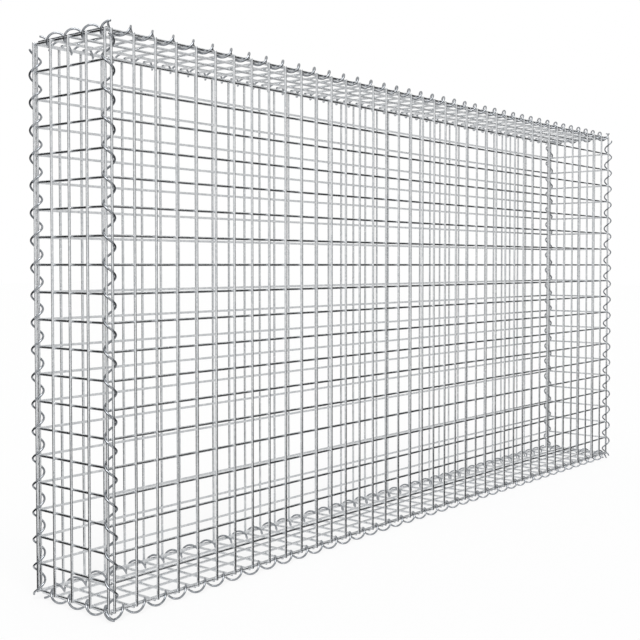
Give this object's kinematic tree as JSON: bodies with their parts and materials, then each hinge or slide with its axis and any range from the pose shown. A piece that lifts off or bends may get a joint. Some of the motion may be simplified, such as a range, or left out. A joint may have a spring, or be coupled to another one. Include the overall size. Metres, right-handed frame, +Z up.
{
  "type": "gabion wall basket",
  "caption": "Empty gabion wall basket of welded galvanised wire mesh, a tall narrow box with its sheets laced along every edge by wire spirals, to be filled with stone.",
  "frame": {"origin": "on the ground, under the middle of the basket", "axes": "+X along the wall's length, +Z up, -Y is the front face"},
  "size_m": [2.0342, 0.2288, 1.032],
  "materials": {
    "mesh_wire": "hot-dip galvanised",
    "spiral_wire": "hot-dip galvanised"
  },
  "bodies": {
    "root": {"front_left_bay": "mesh_wire", "front_middle_bay": "mesh_wire", "front_right_bay": "mesh_wire", "back_left_bay": "mesh_wire", "back_middle_bay": "mesh_wire", "back_right_bay": "mesh_wire", "left_end": "mesh_wire", "right_end": "mesh_wire", "lid": "mesh_wire", "base": "mesh_wire", "front_left_spiral": "spiral_wire", "front_right_spiral": "spiral_wire", "back_left_spiral": "spiral_wire", "back_right_spiral": "spiral_wire", "lid_front_spiral": "spiral_wire", "lid_back_spiral": "spiral_wire", "lid_left_spiral": "spiral_wire", "lid_right_spiral": "spiral_wire", "base_front_spiral": "spiral_wire", "base_back_spiral": "spiral_wire", "base_left_spiral": "spiral_wire", "base_right_spiral": "spiral_wire"}
  },
  "joints": []
}
